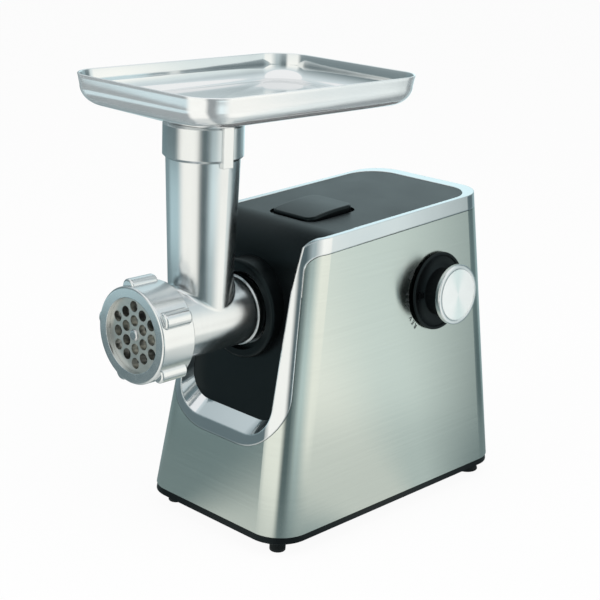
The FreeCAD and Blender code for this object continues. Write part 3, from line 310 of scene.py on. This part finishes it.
# %% [markdown]
# The tray is polished to a mirror inside and left paler outside. Two materials on two
# sets of faces could say that. One material that asks which way the sheet faces does it
# without sorting the faces, and only its Metallic value differs.

# %% Polished sheet of the tray
FACING_STEP = 100.0


def outside_of_tray(place):
    """1 where the tray's sheet faces away from the middle of the bowl."""
    low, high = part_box("tray")
    middle = ((low[0] + high[0]) / 2, (low[1] + high[1]) / 2, 0.0)
    level = stretched(vector_math("SUBTRACT", place, middle), (1.0, 1.0, 0.0))
    facing = place.node("ShaderNodeNewGeometry", {}, {}, "Normal")
    return (along(level, facing) * FACING_STEP).clamped()


def mirror_sheet():
    material, place = new_finish("mirror_sheet")
    ripple = noise(place, (22, 22, 40), 2.0)
    surface(place, {
        "Base Color": tinted(ripple, (0.80, 0.82, 0.83), (0.87, 0.88, 0.88)),
        "Metallic": spread(outside_of_tray(place), 1.0, 0.70),
        "Roughness": spread(ripple, 0.06, 0.12),
        "Normal": relief(ripple, 0.0006, 0.25),
    })
    return material


# %% [markdown]
# The cutting plate is ground, and the shafts and screws inside are turned. Both are plain
# grey metal, so one function with a few values covers them and the other metals inside.


# %% Ground and turned steel
def plain_steel(name, dark, light, rough):
    material, place = new_finish(name)
    mottled = noise(place, (260, 260, 260), 4.0)
    surface(place, {
        "Base Color": tinted(mottled, dark, light),
        "Metallic": 1.0,
        "Roughness": spread(mottled, rough - 0.06, rough + 0.08),
        "Normal": relief(mottled, 0.0001, 0.2),
    })
    return material


# %% [markdown]
# The knob's disc is turned on a lathe, so its lines are rings. Each ring mirrors light
# only where it faces a lamp, which draws a fan of two bright and two dim wedges across
# the disc. Anisotropic roughness could draw it, but it needs a tangent on every face. So
# the fan is painted into the disc's base colour as a painted highlight, worked out from
# the angle round the knob's axis.

# %% Spun disc of the knob
# Turn and sharpness of the painted highlight fan on the disc.
FAN_TURN = 1.50
FAN_POWER = 5.0
RINGS_PER_METRE = 4200.0


def spun_disc():
    """Rings round the knob's own axis, read from the record's joint, and a painted highlight fan."""
    joint = joints["knob_turn"]
    material, place = new_finish("spun_disc")
    centred = vector_math("SUBTRACT", place, joint["pos_m"])
    across = vector_math("CROSS_PRODUCT", centred, joint["axis"])
    radius = across.node("ShaderNodeVectorMath", {"operation": "LENGTH"}, {0: across}, "Value")
    rings = radius.node("ShaderNodeTexNoise", {"noise_dimensions": "1D"},
                        {"W": radius * RINGS_PER_METRE, "Scale": 1.0, "Detail": 2.0})
    up = Vector(joint["axis"]).cross(Vector((0, 1, 0))) * -1.0
    angle = centred.math("ARCTAN2", along(centred, up), along(centred, (0, 1, 0)))
    blade = centred.math("COSINE", angle - FAN_TURN, 0.0)
    painted_highlight_fan = 1.0 - (blade * blade) ** FAN_POWER
    # Base colour: the rings' own tone plus the painted highlight fan of bright and dim wedges.
    glow = rings * 0.2 + painted_highlight_fan * 0.8
    surface(place, {
        "Base Color": tinted(glow, (0.76, 0.87, 0.86), (1.0, 1.0, 0.99)),
        "Metallic": 0.55,
        "Roughness": spread(rings, 0.14, 0.20),
        "Normal": relief(rings, 0.00005, 0.5),
    })
    return material


# %% [markdown]
# ## Plastic and rubber finishes
# Moulded plastic has a fine eroded grain that breaks up reflections. Rubber is duller
# and slightly dusty. The grain could be modelled or taken from a picture; a fine noise in
# the bump is enough, because a single pit is smaller than a pixel.


# %% Moulded plastic and rubber
GLOSS_SHARE = 0.22
GLOSS_TINT = (0.66, 0.95, 1.0, 1.0)


def moulded(name, dark, light, rough, grain=1900, depth=0.00008):
    material, place = new_finish(name)
    pits = noise(place, (grain, grain, grain), 2.0)
    dust = noise(place, (28, 28, 28), 4.0)
    surface(place, {
        "Base Color": tinted(dust, dark, light),
        "Roughness": spread(dust, rough - 0.04, rough + 0.06),
        "Specular IOR Level": GLOSS_SHARE,
        "Specular Tint": GLOSS_TINT,
        "Normal": relief(pits, depth, 0.5),
    })
    return material


# %% [markdown]
# ## One finish for each slot
# The record names a material slot for every piece. Each piece could be dressed by hand,
# but a table from slot to finish keeps equal pieces equal and one loop dresses them all.

# %% Finishes by slot
COVER_DARK = (0.0024, 0.0030, 0.0034)
COVER_LIGHT = (0.0042, 0.0052, 0.0058)
finishes = {
    "steel": brushed_steel(),
    "chrome": bright_plating(),
    "black_plastic": moulded("cover_plastic", COVER_DARK, COVER_LIGHT, 0.33),
    "base_plastic": moulded("base_plastic", (0.003, 0.003, 0.0034), (0.005, 0.005, 0.0055), 0.36),
    "foot_rubber": moulded("foot_rubber", (0.006, 0.006, 0.006), (0.011, 0.011, 0.011), 0.6),
    "button_plastic": moulded("button_plastic", COVER_DARK, COVER_LIGHT, 0.28),
    "cast_aluminium": polished_casting("polished_casting", (260, 260, 14), (0.83, 0.85, 0.86)),
    "nut_aluminium": polished_casting("nut_casting", (160, 30, 160), (0.86, 0.88, 0.89)),
    "screw_aluminium": polished_casting("screw_casting", (120, 120, 120), (0.70, 0.71, 0.72)),
    "plate_steel": plain_steel("plate_steel", (0.58, 0.58, 0.55), (0.70, 0.70, 0.66), 0.34),
    "tray_steel": mirror_sheet(),
    "knob_plastic": moulded("knob_plastic", (0.0024, 0.0026, 0.003), (0.0045, 0.005, 0.0055), 0.42),
    "disc_aluminium": spun_disc(),
    "machine_steel": plain_steel("machine_steel", (0.44, 0.44, 0.44), (0.56, 0.56, 0.55), 0.32),
    "gear_nylon": moulded("gear_nylon", (0.72, 0.70, 0.62), (0.80, 0.78, 0.70), 0.45),
    "gearbox_aluminium": plain_steel("gearbox_casting", (0.52, 0.53, 0.54), (0.64, 0.65, 0.66), 0.42),
    "bronze": plain_steel("bronze", (0.52, 0.36, 0.16), (0.62, 0.45, 0.22), 0.35),
    "copper": plain_steel("copper_wire", (0.55, 0.24, 0.11), (0.72, 0.36, 0.20), 0.33),
    "laminations": plain_steel("laminations", (0.18, 0.18, 0.19), (0.28, 0.28, 0.29), 0.5),
    "carbon": moulded("carbon", (0.02, 0.02, 0.02), (0.04, 0.04, 0.04), 0.55),
    "board": moulded("board", (0.03, 0.11, 0.05), (0.05, 0.16, 0.07), 0.4),
    "board_parts": moulded("board_parts", (0.05, 0.05, 0.06), (0.12, 0.12, 0.13), 0.4),
}
for subpart in frame["record"]["subparts"]:
    mesh = nodes[subpart["node"]].data
    mesh.materials.clear()
    mesh.materials.append(finishes[subpart["material_slot"]])
print("finishes made:", len(finishes))

# %% [markdown]
# ## Tray
# The tray is pressed from one polished sheet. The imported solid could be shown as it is, but
# a mirror shows every facet. So the sheet is built here as a dense closed mesh of rounded
# rectangles, close to the solid's sizes: a rounded rim, leaning walls, a soft bend, a
# bottom that runs down to the throat, and the spout below it. Quads between neighbouring
# outlines then shade smoothly.

# %% Outlines of the tray
tray_low, tray_high = (Vector(corner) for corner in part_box("tray"))
TRAY_SHEET = 0.0014
TRAY_WALL = 0.0085
TRAY_LEAN = 0.0013
TRAY_CORNER = 0.026
TRAY_BEND = 0.0149
TRAY_BEND_DEG = 72.0
TRAY_RISE = 0.0313
THROAT_AHEAD = 0.0685
SPOUT_R = 0.0264
THROAT_R = SPOUT_R + 0.003
THROAT_ROUND = 0.985
FLOOR_CURVE = 1.3
WALL_STEPS = 3
CORNER_STEPS = 18
SIDE_STEPS = 14
BEND_STEPS = 16
FLOOR_STEPS = 14
THROAT_Y = tray_low.y + THROAT_AHEAD
TRAY_X = (tray_low.x + tray_high.x) / 2


def rounded_outline(half, front, back, corner, height):
    """Points of a rounded rectangle, the same number on every outline."""
    middles = [(half - corner, front + corner, -90), (half - corner, back - corner, 0),
               (corner - half, back - corner, 90), (corner - half, front + corner, 180)]
    arcs = []
    for x, y, start in middles:
        turns = [math.radians(start + 90 * k / CORNER_STEPS) for k in range(CORNER_STEPS + 1)]
        arcs.append([Vector((TRAY_X + x + corner * math.cos(t), y + corner * math.sin(t), height))
                     for t in turns])
    points = []
    for arc, following in zip(arcs, arcs[1:] + arcs[:1]):
        points += arc
        points += [arc[-1].lerp(following[0], k / SIDE_STEPS) for k in range(1, SIDE_STEPS)]
    return points


def inset_outline(inset, drop):
    """The tray's outline moved in from the rim and down from it."""
    half = (tray_high.x - tray_low.x) / 2
    return rounded_outline(half - inset, tray_low.y + inset, tray_high.y - inset,
                           TRAY_CORNER - inset / 2, tray_high.z - drop)


def throat_outline(radius, drop):
    return rounded_outline(radius, THROAT_Y - radius, THROAT_Y + radius, radius * THROAT_ROUND,
                           tray_high.z - drop)


def tray_side(sheet):
    """Outlines of one face of the sheet, from below the rim to the throat."""
    outlines = []
    for k in range(1, WALL_STEPS + 1):
        share = k / WALL_STEPS
        outlines.append(inset_outline(sheet + TRAY_LEAN * share, TRAY_WALL * share))
    for k in range(1, BEND_STEPS + 1):
        turn = math.radians(TRAY_BEND_DEG * k / BEND_STEPS)
        inset = TRAY_LEAN + TRAY_BEND * (1 - math.cos(turn)) + sheet * math.cos(turn)
        outlines.append(inset_outline(inset, TRAY_WALL + (TRAY_BEND - sheet) * math.sin(turn)))
    edge = outlines[-1]
    throat = throat_outline(THROAT_R, TRAY_RISE - sheet)
    for k in range(1, FLOOR_STEPS + 1):
        share = (k / FLOOR_STEPS) ** FLOOR_CURVE
        outlines.append([a.lerp(b, share) for a, b in zip(edge, throat)])
    return outlines


# %% Tray sheet
RIM_STEPS = 6
SPOUT_BEND = 0.0006
SPOUT_EDGE = 0.0003
BORE_BEND = 0.0008


def skin_between(outlines):
    """Closed ring of quads through a list of outlines, shaded smooth."""
    shape = bmesh.new()
    rings = [[shape.verts.new(point) for point in outline] for outline in outlines]
    for ring, following in zip(rings, rings[1:] + rings[:1]):
        for k in range(len(ring)):
            after = (k + 1) % len(ring)
            face = shape.faces.new((ring[k], ring[after], following[after], following[k]))
            face.smooth = True
    bmesh.ops.recalc_face_normals(shape, faces=shape.faces)
    mesh = bpy.data.meshes.new("tray_sheet")
    shape.to_mesh(mesh)
    shape.free()
    return mesh


def tray_rim():
    """Outlines round the sheet's edge, from the inside over the top to the outside."""
    hem = TRAY_SHEET / 2
    turns = [math.pi * k / RIM_STEPS for k in range(RIM_STEPS + 1)]
    return [inset_outline(hem + hem * math.cos(t), hem - hem * math.sin(t)) for t in turns]


def tray_spout():
    """Outlines down the outside of the spout and up its bore."""
    end = tray_high.z - tray_low.z
    bore = SPOUT_R - TRAY_SHEET
    steps = [(SPOUT_R + SPOUT_BEND, TRAY_RISE), (SPOUT_R, TRAY_RISE + SPOUT_BEND),
             (SPOUT_R, end - SPOUT_EDGE), (SPOUT_R - SPOUT_EDGE, end),
             (bore + SPOUT_EDGE, end), (bore, end - SPOUT_EDGE),
             (bore, TRAY_RISE + SPOUT_BEND), (bore + BORE_BEND, TRAY_RISE - TRAY_SHEET)]
    return [throat_outline(radius, drop) for radius, drop in steps]


def make_tray():
    outside = tray_side(0.0)
    inside = tray_side(TRAY_SHEET)
    mesh = skin_between(tray_rim() + outside + tray_spout() + inside[::-1])
    tray = bpy.data.objects.new("tray_sheet", mesh)
    bpy.context.collection.objects.link(tray)
    mesh.materials.append(finishes["tray_steel"])
    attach(tray, "tray")
    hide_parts("tray")
    return tray


tray = make_tray()
print("tray sheet has", len(tray.data.polygons), "faces")

# %% [markdown]
# ## Spring under the button
# A coil holds the release button up and shortens as the button goes down. Here the coil
# only gets its own copy of its mesh.

# %% Button spring
coil = nodes["button_spring"]
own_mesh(coil)

# %% [markdown]
# ## Latch spring
# The latch is a leaf held on a ridge of the gearbox. The button's stem bends its tail down,
# and the finger in front leaves the head's notch before the head can turn. So the leaf is
# cut over the ridge into a finger that rides with the body and a tail sliced across into
# short lengths.

# %% Latch in two pieces
LATCH_HOLD = 0.020      # from the finger's face to the cut over the ridge
TAIL_CUTS = 12
WELD = 1e-6
latch_low, latch_high = (Vector(corner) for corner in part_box("latch_spring"))


def cut_leaf(shape, reach, clear_front=False, clear_tail=False):
    """Cuts the leaf across, and may take away what lies on one side of the cut."""
    parts = shape.verts[:] + shape.edges[:] + shape.faces[:]
    bmesh.ops.bisect_plane(shape, geom=parts, plane_co=(0, latch_low.y + reach, 0), plane_no=(0, 1, 0),
                           clear_outer=clear_tail, clear_inner=clear_front)
    bmesh.ops.holes_fill(shape, edges=[edge for edge in shape.edges if edge.is_boundary])


def latch_piece(name, front):
    shape = bmesh.new()
    shape.from_mesh(nodes["latch_spring"].data)
    bmesh.ops.remove_doubles(shape, verts=shape.verts, dist=WELD)
    cut_leaf(shape, LATCH_HOLD, clear_front=not front, clear_tail=front)
    tail = latch_high.y - latch_low.y - LATCH_HOLD
    for k in range(1, TAIL_CUTS):
        cut_leaf(shape, LATCH_HOLD + tail * k / TAIL_CUTS)
    bmesh.ops.recalc_face_normals(shape, faces=shape.faces)
    mesh = bpy.data.meshes.new(name)
    shape.to_mesh(mesh)
    shape.free()
    piece = bpy.data.objects.new(name, mesh)
    bpy.context.collection.objects.link(piece)
    mesh.materials.append(finishes["machine_steel"])
    if front:
        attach(piece, "body")
        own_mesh(piece)
    else:
        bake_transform(piece)
    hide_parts("latch_spring")
    return piece


latch = [latch_piece("latch_finger", True), latch_piece("latch_tail", False)]
print("latch pieces have", [len(piece.data.polygons) for piece in latch], "faces")

# %% [markdown]
# ## Dial marks
# The steel carries three printed words round the knob: ON, OFF and REV, the positions
# that the pointer can face. They could be painted into the steel's finish, but letters are
# hard to draw with noise. So each letter is a thin solid of Blender's own text, turned so
# that its top faces away from the knob, and all are joined into one piece on the skin.

# %% Dial marks
MARK_RADIUS = 0.0352
MARK_SIZE = 0.0056
MARK_PITCH_DEG = 7.6
MARK_PROUD = 0.00012
MARK_HALF_DEPTH = 0.000096
MARKS = {"ON": 31.0, "OFF": -2.0, "REV": -36.0}


def letter_mesh(letter):
    curve = bpy.data.curves.new("letter", "FONT")
    curve.body = letter
    curve.size = MARK_SIZE
    curve.align_x = "CENTER"
    curve.align_y = "BOTTOM_BASELINE"
    curve.extrude = MARK_HALF_DEPTH
    text = bpy.data.objects.new("letter", curve)
    mesh = bpy.data.meshes.new_from_object(text)
    bpy.data.objects.remove(text)
    return mesh


def make_marks():
    joint = joints["knob_turn"]
    out = Vector(joint["axis"]).normalized()
    centre = Vector(joint["pos_m"]) + out * MARK_PROUD
    ahead = Vector((0, -1, 0))
    up = out.cross(ahead) * -1.0
    shape = bmesh.new()
    for word, middle in MARKS.items():
        for k, letter in enumerate(word):
            turn = math.radians(middle + MARK_PITCH_DEG * (k - (len(word) - 1) / 2))
            away = ahead * math.cos(turn) + up * math.sin(turn)
            aside = away.cross(out)
            place = Matrix((aside, away, out)).transposed().to_4x4()
            mesh = letter_mesh(letter)
            mesh.transform(Matrix.Translation(centre + away * MARK_RADIUS) @ place)
            shape.from_mesh(mesh)
    bmesh.ops.remove_doubles(shape, verts=shape.verts, dist=WELD)
    mesh = bpy.data.meshes.new("dial_marks")
    shape.to_mesh(mesh)
    shape.free()
    marks = bpy.data.objects.new("dial_marks", mesh)
    bpy.context.collection.objects.link(marks)
    mesh.materials.append(moulded("dial_ink", (0.03, 0.034, 0.036), (0.06, 0.065, 0.068), 0.5))
    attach(marks, "body")
    return marks


marks = make_marks()
print("dial marks have", len(marks.data.polygons), "faces")

# %% [markdown]
# ## Studio
# Polished metal has no look of its own: it shows the room. The machine stands on a white
# floor between two tall bright panels, one in front of the head and one on the knob's
# side, with dark gaps where the eye stands and to the left. A tent-shaped wall that only
# reflections can see carries those tones, so the floor and the background stay white.


# %% Floor and surroundings
def background_rays(tree):
    """1 for what the eye sees directly, in a mirror or through glass."""
    seen = add_node(tree, "ShaderNodeLightPath", out="Is Camera Ray")
    for name in ("Is Glossy Ray", "Is Transmission Ray"):
        seen = seen.math("MAXIMUM", seen, add_node(tree, "ShaderNodeLightPath", out=name))
    return seen


FLOOR_HALF = 40.0
FLOOR_GLOW = 0.94


def make_floor():
    mesh = bpy.data.meshes.new("floor")
    corners = [(-1, -1), (1, -1), (1, 1), (-1, 1)]
    mesh.from_pydata([(x * FLOOR_HALF, y * FLOOR_HALF, 0.0) for x, y in corners], [], [(0, 1, 2, 3)])
    floor = bpy.data.objects.new("floor", mesh)
    bpy.context.collection.objects.link(floor)
    material, place = new_finish("floor_paper")
    fibre = noise(place, (400, 400, 400), 2.0)
    paper = place.node("ShaderNodeBsdfDiffuse", {}, {"Color": tinted(fibre, (0.84,) * 3, (0.87,) * 3)})
    glow = place.node("ShaderNodeEmission", {}, {"Color": (1, 1, 1, 1), "Strength": 1.0})
    share = background_rays(material.node_tree) * FLOOR_GLOW
    both = place.node("ShaderNodeMixShader", {}, {0: share, 1: paper, 2: glow})
    place.node("ShaderNodeOutputMaterial", {}, {"Surface": both})
    mesh.materials.append(material)


WORLD_LIGHT = 0.55


def make_world():
    world = bpy.data.worlds.new("studio")
    world.use_nodes = True
    tree = world.node_tree
    tree.nodes.clear()
    strength = background_rays(tree) * (1.0 - WORLD_LIGHT) + WORLD_LIGHT
    light = add_node(tree, "ShaderNodeBackground", {}, {"Color": (1, 1, 1, 1), "Strength": strength})
    add_node(tree, "ShaderNodeOutputWorld", {}, {"Surface": light})
    bpy.context.scene.world = world


make_floor()
make_world()
bpy.context.scene.view_settings.view_transform = "Standard"

# %% [markdown]
# Three soft panels light the plastic, the floor and the paler metals. Point lamps could do
# it, but they throw hard shadows. The panels are hidden from reflections, because the tent
# below decides what the metal mirrors.

# %% Soft panels
AIM = Vector((0.0, 0.0, 0.18))


def soft_panel(name, azimuth, height, distance, width, tall, watts):
    """Azimuth 0 is in front of the head and 90 on the knob's side."""
    data = bpy.data.lights.new(name, "AREA")
    data.shape = "RECTANGLE"
    data.size = width
    data.size_y = tall
    data.energy = watts
    lamp = bpy.data.objects.new(name, data)
    turn = math.radians(azimuth)
    place = Vector((math.sin(turn) * distance, -math.cos(turn) * distance, height))
    aim = (AIM - place).to_track_quat("-Z", "Y").to_matrix().to_4x4()
    lamp.matrix_world = Matrix.Translation(place) @ aim
    lamp.visible_glossy = False
    bpy.context.collection.objects.link(lamp)


soft_panel("panel_front", -12, 1.0, 1.9, 0.8, 1.6, 16)
soft_panel("panel_top", 60, 2.2, 0.8, 1.6, 1.6, 14)
soft_panel("panel_right", 110, 0.9, 2.0, 1.2, 1.4, 14)

# %% [markdown]
# A real studio hangs cloth round a shiny thing, so that it mirrors chosen tones. A picture of
# a room could surround the machine, but each tone here has to fall on one face. So the
# cloth is a bowl of quads with one table: an azimuth range and its tones. Only
# reflections see it.

# %% Tones of the tent
TENT_PROFILE = [(0.02, 0.002), (0.32, 0.004), (0.60, 0.015), (0.78, 0.08),
                (0.88, 0.30), (0.90, 0.90), (0.90, 1.30)]
TENT_SEGMENTS = 96
NEAR_EDGE = 0.0075
NEAR_TONE = (0.30, 0.37, 0.38)
NEAR_SHARE = 0.5
NEAR_STEP = 300.0
BAND_LOW = 0.03
BAND_HIGH = 0.155
BAND_STEP_LOW = 50.0
BAND_STEP_HIGH = 25.0
UPPER_LOW = 0.35
UPPER_TONE = (0.72, 0.80, 0.82)
UPPER_SHARE = 1.1
COOL = (0.72, 1.05, 1.14)
WARM = (1.02, 1.01, 0.95)
# Cloth panels round the machine: first and last azimuth in degrees, tone of the strip
# just above the floor, tone of the wall over it, and warmth.
PANELS = [
    (-180, -172, 0.45, 0.40, 0.2),   # behind
    (-152, -137, 0.70, 1.10, 0.3),   # window behind, on the left
    (-110, -75, 0.33, 0.24, 0.1),    # grey cloth on the left
    (-60, -29, 0.70, 0.19, 0.2),     # grey cloth in front, on the left
    (-13, 26, 1.10, 1.10, 1.0),      # bright panel in front
    (37, 50, 0.12, 0.14, 0.1),       # dark gap round the eye
    (68, 74, 1.00, 0.50, 0.5),       # grey cloth above a bright strip
    (100, 126, 1.06, 1.14, 1.0),     # bright panel on the knob's side
    (134, 138, 0.86, 0.90, 0.7),     # its shaded edge
    (151, 168, 0.22, 0.16, 0.1),     # dark cloth behind, on the right
    (176, 180, 0.45, 0.40, 0.2),     # behind
]


def tent_colour(tone, warmth):
    """Dark tones are cooler than bright ones."""
    return tuple(tone * (c + (w - c) * warmth) for c, w in zip(COOL, WARM))


# %% Tent, seen only in reflections
def tent_mesh():
    shape = bmesh.new()
    rings = []
    for radius, height in TENT_PROFILE:
        ring = []
        for k in range(TENT_SEGMENTS):
            turn = 2 * math.pi * k / TENT_SEGMENTS
            ring.append(shape.verts.new((radius * math.cos(turn), radius * math.sin(turn), height)))
        rings.append(ring)
    for low, high in zip(rings, rings[1:]):
        for k in range(TENT_SEGMENTS):
            after = (k + 1) % TENT_SEGMENTS
            shape.faces.new((low[k], low[after], high[after], high[k]))
    mesh = bpy.data.meshes.new("tent")
    shape.to_mesh(mesh)
    shape.free()
    return mesh


def tent_cloth():
    material, place = new_finish("tent_cloth")
    turned = place.node("ShaderNodeVectorRotate", {"rotation_type": "Z_AXIS"},
                        {"Vector": place, "Angle": math.pi / 2})
    azimuth = turned.node("ShaderNodeTexGradient", {"gradient_type": "RADIAL"}, {"Vector": turned}, 1)
    strip_stops = []
    wall_stops = []
    for first, last, strip, wall, warmth in PANELS:
        for side in (first, last):
            strip_stops.append((side / 360 + 0.5, tent_colour(strip, warmth)))
            wall_stops.append((side / 360 + 0.5, tent_colour(wall, warmth)))
    height = place.node("ShaderNodeSeparateXYZ", {}, {0: place}, "Z")
    rise = ((height - BAND_LOW) * BAND_STEP_LOW).clamped()
    fall = ((BAND_HIGH - height) * BAND_STEP_HIGH).clamped()
    tones = mixed(rise * fall, ramp(azimuth, wall_stops), ramp(azimuth, strip_stops))
    near = ((NEAR_EDGE - height) * NEAR_STEP).clamped() * NEAR_SHARE
    tones = mixed(near, tones, (*NEAR_TONE, 1.0))
    above = (height - UPPER_LOW).clamped() * UPPER_SHARE
    tones = mixed(above, tones, (*UPPER_TONE, 1.0))
    glow = place.node("ShaderNodeEmission", {}, {"Color": tones, "Strength": 1.0})
    place.node("ShaderNodeOutputMaterial", {}, {"Surface": glow})
    return material


def make_tent():
    mesh = tent_mesh()
    mesh.materials.append(tent_cloth())
    tent = bpy.data.objects.new("tent", mesh)
    bpy.context.collection.objects.link(tent)
    tent.visible_camera = False
    tent.visible_diffuse = False
    tent.visible_transmission = False
    tent.visible_shadow = False
    return tent


tent = make_tent()
print("tent has", len(tent.data.polygons), "faces in", len(PANELS), "panels")
